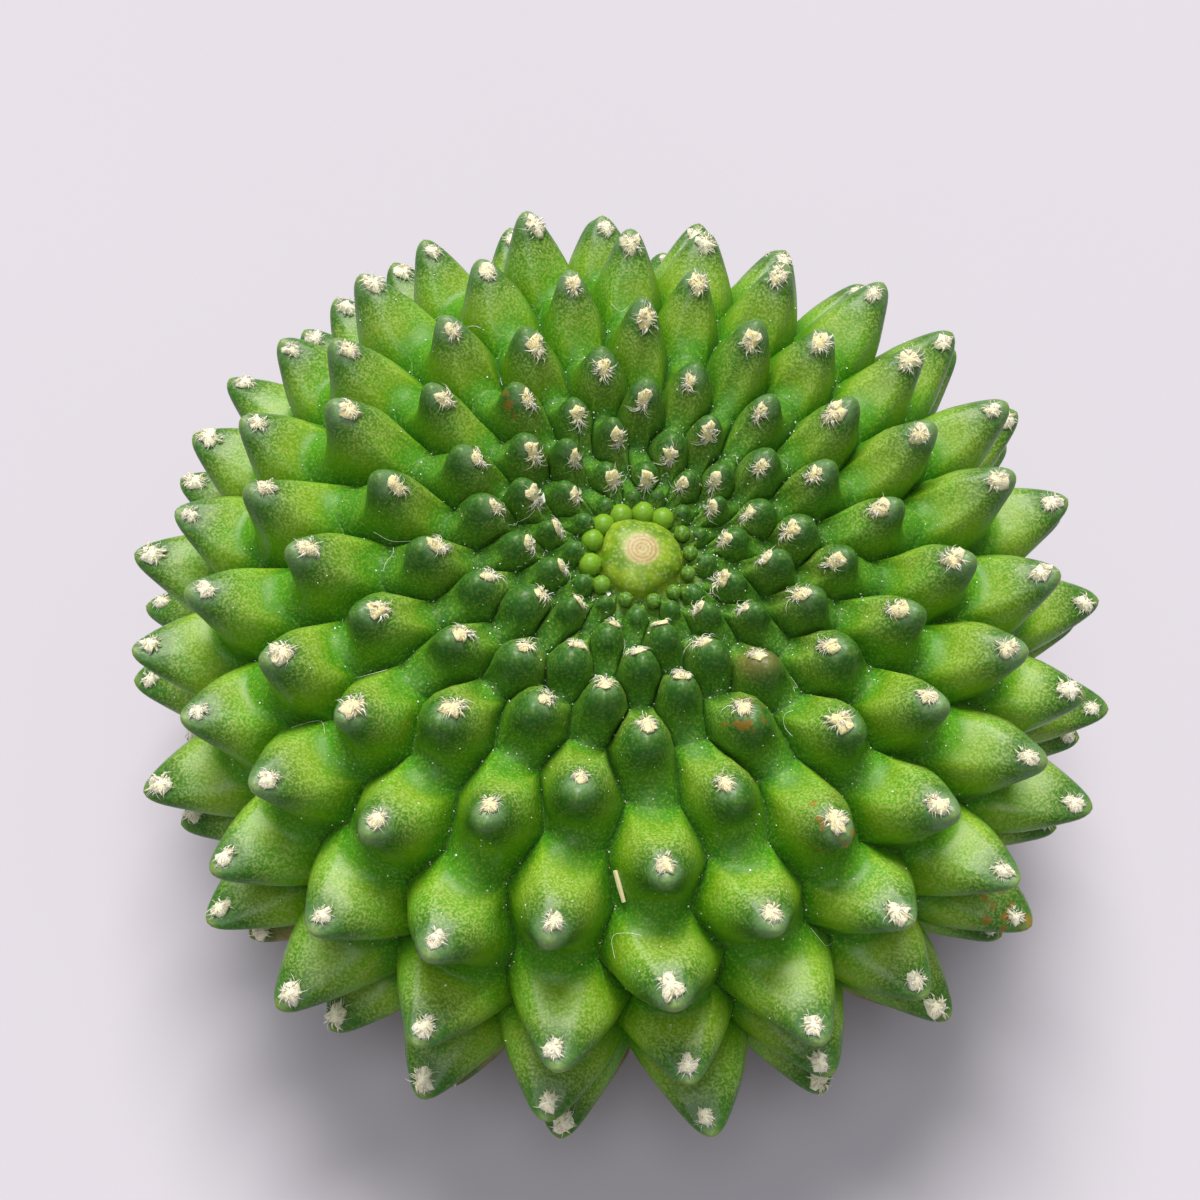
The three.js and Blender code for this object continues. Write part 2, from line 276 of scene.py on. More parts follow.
def angle_of(thirds, ring):
    """The angle round the stem of a place counted in thirds of a rib."""
    even = thirds * 2 * np.pi / (3 * RIBS) + ring * RIB_TWIST
    wander = np.sin(2 * even + 1.9 * ring) + 0.7 * np.sin(5 * even - 1.1 * ring + 1)
    return even + FRONT_SPREAD * np.cos(even) + bead_to_tooth(RIB_WANDER, ring) * wander


def drifted(ring, angle):
    """The ring that really grows at a place."""
    waves = np.sin(3 * angle + 0.7 * ring) + 0.8 * np.sin(5 * angle - 1.3 * ring + 2)
    return ring + bead_to_tooth(RING_DRIFT, ring) * smoothstep(0, DRIFT_BY_RING, ring) * waves


def groove_point(ring, angle, share):
    """A point of the core's skin, raised along the tubercles by a share of their length."""
    grown = drifted(ring, angle)
    radius = outline_at(grown, RADIUS)
    height = STEM_HEIGHT - outline_at(grown, DROP)
    tip = np.stack([radius * np.cos(angle), radius * np.sin(angle), height], -1)
    sunk = (outline_at(grown, LENGTH) * (1 - share))[..., None]
    return tip - sunk * leaning(angle, np.radians(outline_at(grown, LEAN)))


def dot(a, b):
    """The dot product of vectors held in the last axis."""
    return (a * b).sum(-1)


def unit(vectors):
    """Vectors brought to length one."""
    return vectors / np.linalg.norm(vectors, axis=-1, keepdims=True)


# Every tubercle grows on a field of eight corners, given in rings and thirds of a rib, with two
# more places between each. Its walls are cut at these parts of the way from groove to nose.
FIELD = [(1, 0), (1, 1), (0, 2), (-1, 1), (-1, 0), (-1, -1), (0, -2), (1, -1)]
BETWEEN = 3
COLUMNS = BETWEEN * len(FIELD)
CROWNWARD = 4 * BETWEEN
STEPS = np.array([0, .035, .09, .17, .27, .38, .5, .61, .71, .79, .86, .92, .96, .988])

ring = np.repeat(np.arange(ROWS), PER_ROW).astype(float)
rib = 2 * np.tile(np.arange(PER_ROW), ROWS) + ring % 2


def field_corner(number):
    """A corner's ring and its place in thirds of a rib, for all tubercles."""
    rings, side = FIELD[number % len(FIELD)]
    width = bead_to_tooth(SADDLE_WIDTH, ring + rings)
    offset = {0: 0 * width, 1: width, 2: 3 - width}[abs(side)]
    return ring + rings, 3 * rib + math.copysign(1, side) * offset


rim_ring = np.zeros((len(ring), COLUMNS))
rim_thirds = np.zeros((len(ring), COLUMNS))
for column in range(COLUMNS):
    start, part = divmod(column, BETWEEN)
    (ring_a, thirds_a), (ring_b, thirds_b) = field_corner(start), field_corner(start + 1)
    rim_ring[:, column] = ring_a + (ring_b - ring_a) * part / BETWEEN
    rim_thirds[:, column] = thirds_a + (thirds_b - thirds_a) * part / BETWEEN

from_rib = np.abs((rim_thirds + 1.5) % 3 - 1.5)
from_saddle = from_rib / bead_to_tooth(SADDLE_WIDTH, rim_ring)
arch = (1 - np.clip(from_saddle, 0, 1) ** 2) ** SADDLE_ROUND
rim_share = GROOVE_FLOOR + (bead_to_tooth(SADDLE_HEIGHT, rim_ring) - GROOVE_FLOOR) * arch
rim = groove_point(rim_ring, angle_of(rim_thirds, rim_ring), rim_share)

due = angle_of(3 * rib, ring)
grown = drifted(ring, due)
angle = due + TURN_SPREAD * uneven(ring, rib, 1)
lean_due = np.radians(outline_at(grown, LEAN))
lean = lean_due + bead_to_tooth(LEAN_SPREAD, ring) * uneven(ring, rib, 2)
length_due = outline_at(grown, LENGTH)
length = length_due * (1 + bead_to_tooth(LENGTH_SPREAD, ring) * uneven(ring, rib, 3))
axis = leaning(angle, lean)
crownward = leaning(angle, lean + np.pi / 2)
sideways = np.stack([-np.sin(angle), np.cos(angle), 0 * angle], -1)
middle = groove_point(ring, due, 0 * ring)

# The field's outline turns into a round belly on the way out.
from_middle = rim - middle[:, None]
across = dot(from_middle, sideways[:, None])[:, None]
up = dot(from_middle, crownward[:, None])[:, None]
base_rise = dot(from_middle, axis[:, None])[:, None]
half_width = np.abs(across).max(2, keepdims=True)
half_depth = np.abs(up).max(2, keepdims=True)
bearing = np.arctan2(up / half_depth, across / half_width)
inset = bead_to_tooth(BELLY_INSET, ring)[:, None, None]
round_across = half_width * inset * np.cos(bearing)
round_up = np.minimum(half_depth, DEPTH_LIMIT * half_width) * inset * np.sin(bearing)

# Each wall is cut at every step t: its width closes to the nose, and its rise starts flat.
t = STEPS[None, :, None]
each = (slice(None), None, None)
saddle = arch[:, None]
crown_belly = bead_to_tooth(CROWN_BELLY, ring)[each] * np.sin(bearing)
belly = bead_to_tooth(BELLY, ring)[each] * (1 + crown_belly)
cone = (1 - t ** belly) ** (2 * bead_to_tooth(NOSE, ring)[each])
nose_radius = bead_to_tooth(NOSE_RADIUS, ring)[each]
tip_round = 2 * nose_radius * length[each] / half_width ** 2 * (1 - t) * t ** 6
width = np.sqrt(cone + tip_round) * (1 - SADDLE_PINCH * saddle * t * (1 - t) ** 2)
roundness = smoothstep(0, ROUND_BY, t)
square = 1 - (1 - WALL_INSET) * smoothstep(0, WALL_INSET_BY, t)
out_across = (across * square * (1 - roundness) + round_across * roundness) * width
out_up = (up * square * (1 - roundness) + round_up * roundness) * width
out_up = out_up + HOOK * length[each] * t ** 2
flatness = GROOVE_START + (SADDLE_START - GROOVE_START) * saddle
rise = length[each] * t + base_rise * (1 - t) ** flatness
walls = (
    middle[:, None, None] + out_across[..., None] * sideways[:, None, None]
    + out_up[..., None] * crownward[:, None, None] + rise[..., None] * axis[:, None, None])
noses = middle + axis * length[:, None] + crownward * (HOOK * length)[:, None]

# The areole sits in a small hollow on the crownward shoulder, nearer the nose towards the rim.
AREOLE_STEPS = (8, 10)
RINGS_PER_STEP = 3
FULL_LENGTH = 8.0    # a tubercle this long, in mm, has an areole of full size
LEAST_AREOLE = 0.22
HOLLOW_DEPTH = 0.42  # in mm, at full size
HOLLOW_WIDTH = 1.3
HOLLOW_FROM = 0.3    # the hollow fades out from here down to the groove

every = np.arange(len(ring))
step = np.clip(AREOLE_STEPS[0] + ring // RINGS_PER_STEP, *AREOLE_STEPS).astype(int)
areole = walls[every, step, CROWNWARD]
noseward = unit(walls[every, step + 1, CROWNWARD] - walls[every, step - 1, CROWNWARD])
round_wall = walls[every, step, CROWNWARD + 1] - walls[every, step, CROWNWARD - 1]
areole_out = unit(np.cross(unit(round_wall), noseward))
areole_out *= np.sign(dot(areole_out, crownward + axis))[:, None]
size = np.clip(length / FULL_LENGTH, LEAST_AREOLE, 1)
to_areole = np.linalg.norm(walls - areole[:, None, None], axis=-1)
hollow = np.exp(-(to_areole / (HOLLOW_WIDTH * size)[each]) ** 2) * (HOLLOW_DEPTH * size)[each]
hollow = hollow * smoothstep(0, HOLLOW_FROM, t)
walls = walls - hollow[..., None] * areole_out[:, None, None]
to_areole = np.linalg.norm(walls - areole[:, None, None], axis=-1)
areole = areole - areole_out * (HOLLOW_DEPTH * size)[:, None]

SAME_PLACE = 0.001  # mm


def open_edge(spans):
    """The open edge of the rows that nothing else closes, in order round the stem."""
    edge = []
    for row, first, last in spans:
        columns = np.arange(first * BETWEEN, last * BETWEEN + 1) % COLUMNS
        edge.append(walls[ring == row, 0][:, columns].reshape(-1, 3))
    edge = np.concatenate(edge)
    edge = edge[np.argsort(np.arctan2(edge[:, 1], edge[:, 0]))]
    return edge[np.linalg.norm(edge - np.roll(edge, 1, 0), axis=1) > SAME_PLACE]


def closing_rings(edge, stations, facing_up):
    """Rings that run in from an open edge to the middle, as points and faces."""
    around = np.arctan2(edge[:, 1], edge[:, 0])
    rings = [edge]
    for radius, height, own in stations[:-1]:
        plain = [radius * np.cos(around), radius * np.sin(around), height + 0 * around]
        rings.append(edge * (1 - own) + np.stack(plain, -1) * own)
    points = np.concatenate(rings + [np.array([[0, 0, stations[-1][1]]])])
    count = len(edge)
    faces = []
    for level in range(len(stations)):
        for i in range(count):
            a, b = level * count + i, level * count + (i + 1) % count
            last = level == len(stations) - 1
            face = [a, b, len(points) - 1] if last else [a, b, b + count, a + count]
            faces.append(face if facing_up else face[::-1])
    return points, faces


# The growing point, a lobed button with small bumps round it, closes the crown, and the foot the
# underside. Each station gives a radius, a height, for which H is the crown's plane, and how far
# it has left the outline of the open edge.
H = STEM_HEIGHT
crown_edge = open_edge([(0, 2, 6), (1, 3, 5)])
turn = np.arctan2(crown_edge[:, 1], crown_edge[:, 0])
lobes = 1 + 0.05 * np.sin(3 * turn + 0.6) + 0.03 * np.sin(5 * turn + 2.1)
bumps = 0.5 + 0.5 * np.sin(14 * turn + 1.5 * np.sin(2 * turn))
button_stations = [
    (3.1 * lobes, H - 2.75, 0.9), (3.1 * lobes, H - 2.4, 1),
    (3.03 * lobes + 0.06 * bumps, H - 2.08, 1), (2.88 * lobes + 0.06 * bumps, H - 1.78, 1),
    (2.65 * lobes, H - 1.56 + 0.07 * bumps, 1), (2.35 * lobes, H - 1.38 + 0.07 * bumps, 1),
    (2.05 * lobes, H - 1.24 + 0.03 * bumps, 1), (1.75, H - 1.13, 1), (1.5, H - 1.06, 1),
    (1.3, H - 1.01, 1), (1.12, H - 1.03, 1), (0.95, H - 0.98, 1), (0.75, H - 1.0, 1),
    (0.55, H - 0.96, 1), (0.3, H - 0.98, 1), (0, H - 1.0, 1)]
foot_stations = [
    (24.8, H - 29.4, 0.75), (22.4, H - 32.4, 0.95), (19.5, H - 34.3, 1), (17.6, H - 35.6, 1),
    (15.8, H - 36.5, 1), (14.8, H - 36.85, 1), (13.5, 0.0, 1), (9, 0.0, 1), (4, 0.0, 1),
    (0, 0.0, 1)]
foot_edge = open_edge([(ROWS - 1, 6, 10), (ROWS - 2, 7, 9)])
button_points, button_faces = closing_rings(crown_edge, button_stations, facing_up=True)
foot_points, foot_faces = closing_rings(foot_edge, foot_stations, facing_up=False)

# Between button and first ring grow the youngest tubercles: 13 bare beads, larger and brighter
# on one side.
BEAD_RING = 3.85          # mm from the stem's axis
BEAD_TOP_DROP = 1.7       # mm below the crown's plane
BEAD_RADII = (0.6, 0.93)
BEAD_SPREAD = 0.15
BEAD_HEIGHT = 0.95        # in bead radii
LARGE_SIDE = 2.5          # where round the stem they are larger, in radians
BEAD_LEVELS = np.linspace(0.3, 3.0, 9)
BEAD_SIDES = 12

bead_turn = angle_of(3 * (2 * np.arange(PER_ROW) + 1.0), -1.0 + np.zeros(PER_ROW))
to_large_side = np.cos(bead_turn - LARGE_SIDE)
bead_growth = (BEAD_RADII[1] - BEAD_RADII[0]) * smoothstep(-0.4, 0.5, to_large_side)
bead_size = BEAD_RADII[0] + bead_growth * (1 + BEAD_SPREAD * uneven(-1, np.arange(PER_ROW), 5))
bead_level, bead_side = np.meshgrid(
    BEAD_LEVELS, np.arange(BEAD_SIDES) * 2 * np.pi / BEAD_SIDES, indexing="ij")
bead_form = np.stack([
    np.sin(bead_level) * np.cos(bead_side), np.sin(bead_level) * np.sin(bead_side),
    BEAD_HEIGHT * np.cos(bead_level)], -1)
bead_middle = np.stack([
    BEAD_RING * np.cos(bead_turn), BEAD_RING * np.sin(bead_turn),
    H - BEAD_TOP_DROP - BEAD_HEIGHT * bead_size], -1)
beads = bead_middle[:, None, None] + bead_size[:, None, None, None] * bead_form
bead_tops = bead_middle + [0, 0, BEAD_HEIGHT] * bead_size[:, None]

# The parts of the surface are put into one list of points and faces.
number = np.arange(walls[..., 0].size).reshape(walls.shape[:3])
inner, outer = number[:, :-1], number[:, 1:]
quads = np.stack([inner, np.roll(inner, -1, 2), np.roll(outer, -1, 2), outer], -1)
tip_number = number.size + np.arange(len(ring))
last = number[:, -1]
tips = np.stack(
    [last, np.roll(last, -1, 1), np.broadcast_to(tip_number[:, None], last.shape)], -1)
points = np.concatenate([
    walls.reshape(-1, 3), noses, button_points, foot_points, beads.reshape(-1, 3), bead_tops])
button_start = number.size + len(ring)
foot_start = button_start + len(button_points)
bead_start = foot_start + len(foot_points)
bead_number = bead_start + np.arange(beads[..., 0].size).reshape(beads.shape[:3])
upper, under = bead_number[:, :-1], bead_number[:, 1:]
bead_quads = np.stack([upper, under, np.roll(under, -1, 2), np.roll(upper, -1, 2)], -1)
cap_number = np.broadcast_to(
    bead_start + bead_number.size + np.arange(PER_ROW)[:, None], upper[:, 0].shape)
bead_caps = np.stack([bead_number[:, 0], np.roll(bead_number[:, 0], -1, 1), cap_number], -1)
faces = quads.reshape(-1, 4).tolist() + tips.reshape(-1, 3).tolist()
faces += [[i + button_start for i in face] for face in button_faces]
faces += [[i + foot_start for i in face] for face in foot_faces]
faces += bead_quads.reshape(-1, 4).tolist() + bead_caps.reshape(-1, 3).tolist()


def over_stem(on_walls, at_noses, on_button, on_foot, on_beads):
    """One value for every point, from the values of the five parts of the surface."""
    return np.concatenate([
        np.broadcast_to(on_walls, walls.shape[:3]).reshape(-1),
        np.broadcast_to(at_noses, len(ring)),
        np.broadcast_to(on_button, len(button_points)),
        np.broadcast_to(on_foot, len(foot_points)),
        np.broadcast_to(on_beads, beads.shape[:3]).reshape(-1),
        np.broadcast_to(np.asarray(on_beads).reshape(-1, 1)[..., 0], PER_ROW)])


# Facts of growth for every point of the skin, which its colours are worked out from: how far it
# is from groove (0) to nose (1), whether it faces down (-1) or to the crown (1), how far its
# areole is, and its ring. Old scars are on a few tubercles only, and one has turned rosy; each
# is known by its ring and rib.
SCARRED = ((11, 23), (6, 22), (4, 22), (4, 10))
ROSY = (3, 23)
CORKY_RINGS = (12, 16)
WALL_CORK = 0.8
FAR_FROM_AREOLE = 9.0
SADDLE_LIGHT = 0.2
BEAD_LIGHT = 0.85

grown_at = list(zip(ring, rib))
scarred = np.array([float(at in SCARRED) for at in grown_at])
rosy = np.array([float(at == ROSY) for at in grown_at])
corky = smoothstep(*CORKY_RINGS, ring) * WALL_CORK
# On the saddles the groove's painted shade is lifted: they are painted lighter, as they stand out
# of it.
saddle_lit = SADDLE_LIGHT * saddle * (1 - smoothstep(0, 0.2, t))
bead_bright = BEAD_LIGHT * smoothstep(-0.3, 0.4, to_large_side)
nose_to_areole = np.linalg.norm(noses - areole, axis=-1)
facts = {
    "along": over_stem(t, 1.0, 0.5, 0.2, 0.5),
    "out_of_groove": over_stem(t + saddle_lit, 1.0, 0.5, 0.2, 0.5),
    "areole_mm": over_stem(
        to_areole / size[each], nose_to_areole / size, FAR_FROM_AREOLE, FAR_FROM_AREOLE,
        FAR_FROM_AREOLE),
    "crownwards": over_stem(np.sin(bearing), 0.0, 0.0, 0.0, 0.5),
    "growth": over_stem(ring[each], ring, -2.0, ROWS + 1.0, -1.0),
    "scar": over_stem(scarred[each], scarred, 0.0, 0.0, 0.0),
    "rosy": over_stem(rosy[each], rosy, 0.0, 0.0, 0.0),
    "cork": over_stem(corky[each], corky, 0.0, 1.0, 0.0),
    "button": over_stem(0.0, 0.0, 1.0, 0.0, 0.0),
    "bright": over_stem(0.0, 0.0, 0.0, 0.0, bead_bright[each]),
}

# Points that two parts share become one, and faces that lost a corner by it are closed up.
WELD = 0.0005  # mm
_, keep, merged = np.unique(
    np.round(points / WELD).astype(np.int64), axis=0, return_index=True, return_inverse=True)
merged = merged.reshape(-1)
clean_faces = []
for face in faces:
    face = [int(merged[i]) for i in face]
    corners = [a for a, b in zip(face, face[1:] + face[:1]) if a != b]
    if len(corners) > 2:
        clean_faces.append(corners)
stem_skin = new_piece(
    "stem_skin", points[keep], clean_faces,
    {name: values[keep] for name, values in facts.items()}, smooth=True)

# Waxed cactus skin, as it grew: a thin wax over green flesh that lets some light in. It gives
# broad satin highlights, yellow-green bellies, dark noses with a frosted shoulder, and corky
# brown below. Painted into its colour are painted shade in the grooves and creases, bellies painted
# lighter where light falls on the side facing the crown, a painted highlight of wax bloom, painted
# shade in part of the noses' dark, and a painted sheen in part of the frost. Wax and wet cells both
# bend light by about 1.4. The cells and pores of a real skin are 0.05 to 0.1 mm wide; the mottle
# and pores here are drawn coarser, so that they show.
PATCH_MM = 4.0
MOTTLE_MM = 0.2
PORE_MM = 0.33
SCAR_GRAIN_MM = 1.0
CORK_GRAIN_MM = 1.2
BUTTON_BLUSH_MM = 1.6
GROWTH_RING_MM = 0.3
WAVE_AT_SCALE_ONE = 0.31  # the length of one wave of Blender's wave pattern at scale 1

skin, tree, skin_output = new_material("waxy_green_skin")
place = add_node(tree, "ShaderNodeTexCoord").outputs["Object"]
sources = {
    name: add_node(tree, "ShaderNodeAttribute", attribute_name=name).outputs["Fac"]
    for name in facts}
for name, grain_mm, detail in (
        ("patches", PATCH_MM, 3.0), ("mottle", MOTTLE_MM, 2.0), ("scar_grain", SCAR_GRAIN_MM, 1.0),
        ("cork_grain", CORK_GRAIN_MM, 4.0), ("blush", BUTTON_BLUSH_MM, 2.0)):
    sources[name] = add_node(
        tree, "ShaderNodeTexNoise",
        {"Vector": place, "Scale": 1 / (grain_mm * MM), "Detail": detail})
sources["pores"] = add_node(
    tree, "ShaderNodeTexVoronoi", {"Vector": place, "Scale": 1 / (PORE_MM * MM)})
sources["cork_edge"] = add_node(
    tree, "ShaderNodeMath", {0: sources["patches"], 1: 0.8, 2: sources["cork"]},
    operation="MULTIPLY_ADD")
flat_place = add_node(
    tree, "ShaderNodeVectorMath", {0: place, 1: (1, 1, 0)}, operation="MULTIPLY")
sources["from_axis"] = add_node(
    tree, "ShaderNodeVectorMath", {0: flat_place}, operation="LENGTH").outputs["Value"]
sources["growth_rings"] = add_node(
    tree, "ShaderNodeTexWave",
    {"Vector": place, "Scale": WAVE_AT_SCALE_ONE / (GROWTH_RING_MM * MM), "Distortion": 1.2,
     "Detail Scale": 1.5}, wave_type="RINGS", rings_direction="Z").outputs["Fac"]

# Dry cork; the dried middle of the button; and the button's young skin round it.
cork_colour = painted(tree, sources, "#6c5434", [("#8c764a", ("cork_grain", 0.35, 0.65))])
dried_middle = painted(
    tree, sources, "#b6a26c", [("#987d44", ("growth_rings", 0.2, 0.8, 0.0, 0.6))])
button_colour = painted(tree, sources, "#588004", [
    ("#8aa620", ("blush", 0.3, 0.7)),
    ("#9ca050", ("from_axis", 1.9 * MM, 1.2 * MM, 0.0, 0.5)),
    (dried_middle, ("from_axis", 1.5 * MM, 1.0 * MM)),
    ("#c0cc8c", ("pores", 0.6, 0.15, 0.0, 0.3))])
skin_colour = painted(tree, sources, "#307c00", [
    # painted shade from the dark groove, and a painted darker crease in it, out to the belly; the
    # yellow-green belly painted lighter where light falls on the side that faces the crown; and the
    # nose, dark partly in its own bluish colour and partly as painted shade
    ("#569600", ("out_of_groove", 0.05, 0.4)),
    ("#144a00", ("out_of_groove", 0.05, 0.0)),
    ("#7a9c02", ("crownwards", -0.9, 0.8), ("patches", 0.3, 0.6), ("along", 0.02, 0.35, 0.0, 0.75)),
    ("#205a10", ("along", 0.42, 0.8, 0.0, 0.92)),
    # the bluer crown, the frost round each areole, partly wax and partly a painted sheen, and the
    # pale tips of the outer noses
    ("#2f6028", ("growth", 7.0, 2.0, 0.0, 0.65)),
    ("#86a07c", ("areole_mm", 2.8, 0.8), ("along", 0.72, 0.9), ("growth", 11.0, 5.0, 0.12, 0.7)),
    ("#939f5d", ("along", 0.93, 0.99), ("growth", 5.0, 9.0, 0.08, 0.4)),
    # dark and light mottle, pores, and the wax bloom on the side that faces up, a painted highlight
    ("#2a6a08", ("mottle", 0.52, 0.34, 0.0, 0.14)),
    ("#9ab83c", ("mottle", 0.5, 0.68), ("along", 0.95, 0.6, 0.12, 0.36)),
    ("#8ea648", ("pores", 0.6, 0.15, 0.0, 0.18)),
    ("#aabc70", ("crownwards", 0.0, 0.95), ("along", 0.15, 0.45), ("along", 0.86, 0.6),
     ("mottle", 0.4, 0.62, 0.1, 1.0), ("growth", 2.0, 7.0, 0.2, 0.42)),
    # rusty scars, the rosy tubercle, cork, the button and its bright beads
    ("#96641e", ("scar", 0.5, 1.0), ("scar_grain", 0.56, 0.66), ("areole_mm", 4.0, 2.5, 0.0, 0.65)),
    ("#80643c", ("rosy",), ("areole_mm", 5.0, 2.0, 0.0, 0.5)),
    (cork_colour, ("cork_edge", 0.6, 1.0)),
    (button_colour, ("button",)),
    ("#76a024", ("bright",))])

pore_pits = add_node(
    tree, "ShaderNodeMapRange", {0: sources["pores"], 1: 0.6, 2: 0.15},
    interpolation_type="SMOOTHSTEP")
pore_relief = add_node(
    tree, "ShaderNodeBump", {"Strength": 0.25, "Distance": 0.05 * MM, "Height": pore_pits})
relief = add_node(
    tree, "ShaderNodeBump",
    {"Strength": 0.2, "Distance": 0.1 * MM, "Height": sources["mottle"], "Normal": pore_relief})
waxed = add_node(
    tree, "ShaderNodeMapRange", {0: sources["mottle"], 1: 0.35, 2: 0.65, 3: 0.32, 4: 0.48},
    interpolation_type="SMOOTHSTEP")
matt_groove = add_node(
    tree, "ShaderNodeMapRange", {0: sources["along"], 1: 0.3, 2: 0.0, 3: 0.0, 4: 0.35},
    interpolation_type="SMOOTHSTEP")
roughness = add_node(tree, "ShaderNodeMath", {0: waxed, 1: matt_groove}, operation="ADD")
skin_surface = add_node(
    tree, "ShaderNodeBsdfPrincipled",
    {"Base Color": skin_colour, "Roughness": roughness, "IOR": 1.4, "Specular IOR Level": 0.3,
     "Normal": relief, "Subsurface Weight": 0.4, "Subsurface Radius": (0.5, 1.0, 0.2),
     "Subsurface Scale": 1.2 * MM, "Coat Weight": 0.2, "Coat Roughness": 0.3, "Coat IOR": 1.45})
tree.links.new(skin_surface.outputs[0], skin_output.inputs[0])
stem_skin.data.materials.append(skin)
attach(stem_skin, "root")
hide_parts("stem")


# ---- Areole wool -----------------------------------------------------------------------------
# Every tubercle carries an areole on the shoulder that faces the crown: a pad of felted cream
# wool, rooted in a small hollow, with weak white hairs so thin that they curl and lie on the skin.

SEED = 26
FIRST_WOOLLY_RING = 1
YOUNG_RINGS = (2, 7)         # over these rings the wool stops being young and trailing
RIM_RINGS = (5, 9)           # over these it turns weathered and a little shorter
TUFT_SPREAD = (0.9, 1.25)    # how large a tuft is, and how much less on young and rim tubercles
YOUNG_LESS, RIM_LESS = 0.13, 0.08
PAD = (0.85, 0.68, 0.5)      # half length, half width and height of a pad, in mm
YOUNG_PAD = (0.97, 0.54, 0.36)
PAD_LEVELS = 5
PAD_SIDES = 12
LUMPS = 0.18                 # how uneven a pad is, point by point, and round its edge
EDGE_LUMPS = (-0.3, 0.25)
PAD_TAPER = 0.35             # how much wider it is towards the nose
TRAILING = 0.45              # the part of the strands that trail on a young tubercle
TRAIL_TURN = 0.6             # how far these turn to the crown, and how much longer they grow
TRAIL_REACH = 1.2
DROOP = (0.3, 0.5)           # how strands sink at their ends, of themselves and off a high pad
STRAND_TAPER = 0.85
LOCK_SIDES = 4
HAIR_SIDES = 3

chance = np.random.default_rng(SEED)


def tubes(paths, radii, sides):
    """Thin tapered tubes along paths, closed at both ends, as points and faces."""
    run = unit(np.gradient(paths, axis=1))
    aside = np.where(np.abs(run[..., 2:]) < 0.9, [0.0, 0, 1], [1.0, 0, 0])
    side = unit(np.cross(run, aside))[:, :, None]
    turn = 2 * np.pi * np.arange(sides)[:, None] / sides
    spokes = np.cos(turn) * side + np.sin(turn) * np.cross(run[:, :, None], side)
    points = paths[:, :, None] + radii[..., None, None] * spokes
    index = np.arange(points[..., 0].size).reshape(points.shape[:3])
    near, far = index[:, :-1], index[:, 1:]
    round_them = np.stack([near, np.roll(near, -1, 2), np.roll(far, -1, 2), far], -1)
    ends = np.concatenate([index[:, 0, ::-1], index[:, -1]])
    return points.reshape(-1, 3), round_them.reshape(-1, 4).tolist() + ends.tolist()


def pads(middle, ahead, wide, out, radii):
    """Lumpy pads, narrower behind, as points and faces; radii ahead, aside and out for each."""
    tilt = (np.pi / 2 * np.arange(PAD_LEVELS) / PAD_LEVELS)[:, None]
    turn = 2 * np.pi * np.arange(PAD_SIDES) / PAD_SIDES
    lump = 1 + chance.uniform(-LUMPS, LUMPS, (len(middle), PAD_LEVELS, PAD_SIDES))
    lump = lump + chance.uniform(*EDGE_LUMPS, (len(middle), 1, PAD_SIDES))
    long, broad, high = (radii[:, i][:, None, None] for i in range(3))
    forth = long * lump * np.cos(tilt) * np.cos(turn)
    aside = broad * lump * np.cos(tilt) * np.sin(turn) * (1 + PAD_TAPER * np.cos(turn))
    above = high * (np.sin(tilt) + 0.15 * (lump - 1))
    points = (
        middle[:, None, None] + forth[..., None] * ahead[:, None, None]
        + aside[..., None] * wide[:, None, None] + above[..., None] * out[:, None, None])
    index = np.arange(points[..., 0].size).reshape(points.shape[:3])
    near, far = index[:, :-1], index[:, 1:]
    sides = np.stack([near, np.roll(near, -1, 2), np.roll(far, -1, 2), far], -1)
    closed = index[:, -1].tolist() + index[:, 0, ::-1].tolist()
    return points.reshape(-1, 3), sides.reshape(-1, 4).tolist() + closed


def strands(count, start, reach, lift, sway, thick, steps):
    """Paths and radii of strands that run out from every pad and droop to the skin.

    Start is where they leave the pad, from its middle to its edge. Reach and thickness are in mm
    on a full tuft, and lift and sway are parts of the reach.
    """
    n = np.repeat(np.arange(len(woolly)), count)
    turn = chance.uniform(0, 2 * np.pi, len(n))
    trailing = chance.random(len(n)) < TRAILING
    turn = np.pi + (turn - np.pi) * (1 - TRAIL_TURN * tail[n] * trailing)
    flat = np.cos(turn)[:, None] * toward[n] + np.sin(turn)[:, None] * wide[n]
    from_middle = chance.uniform(*start, len(n))
    long = np.stack([np.cos(turn) * pad[n, 0], np.sin(turn) * pad[n, 1]], -1)
    root = (
        spot[n] + (from_middle * long[:, 0])[:, None] * toward[n]
        + (from_middle * long[:, 1])[:, None] * wide[n]
        + (pad[n, 2] * np.sqrt(1 - 0.9 * from_middle ** 2) * 0.9)[:, None] * out[n])
    to_crown = np.cos(turn) < -0.8
    longer = 1 + TRAIL_REACH * tail[n] * to_crown
    reach = chance.uniform(*reach, len(n)) * tuft[n] * longer
    u = np.linspace(0, 1, steps)[None, :, None]
    sideways = np.cross(out[n], flat) * chance.uniform(-sway, sway, len(n))[:, None]
    raised = chance.uniform(*lift, len(n))[:, None, None]
    droop = DROOP[0] + DROOP[1] * pad[n, 2, None, None]
    height = raised * np.sin(np.pi * 0.8 * u) - droop * u ** 2
    paths = root[:, None] + reach[:, None, None] * (
        u * flat[:, None] + u ** 2 * sideways[:, None] + height * out[n][:, None])
    thickness = thick * tuft[n][:, None] * chance.uniform(0.7, 1.3, (len(n), 1))
    return paths, thickness * (1 - STRAND_TAPER * u[..., 0] ** 2)


woolly = np.flatnonzero(ring >= FIRST_WOOLLY_RING)
spot, out, toward = areole[woolly], areole_out[woolly], noseward[woolly]
wide = np.cross(out, toward)
rim_like = smoothstep(*RIM_RINGS, ring[woolly])
tail = 1 - smoothstep(*YOUNG_RINGS, ring[woolly])
tuft = chance.uniform(*TUFT_SPREAD, len(woolly)) * (1 - YOUNG_LESS * tail - RIM_LESS * rim_like)
pad = tuft[:, None] * (np.array(PAD) + np.subtract(YOUNG_PAD, PAD) * tail[:, None])

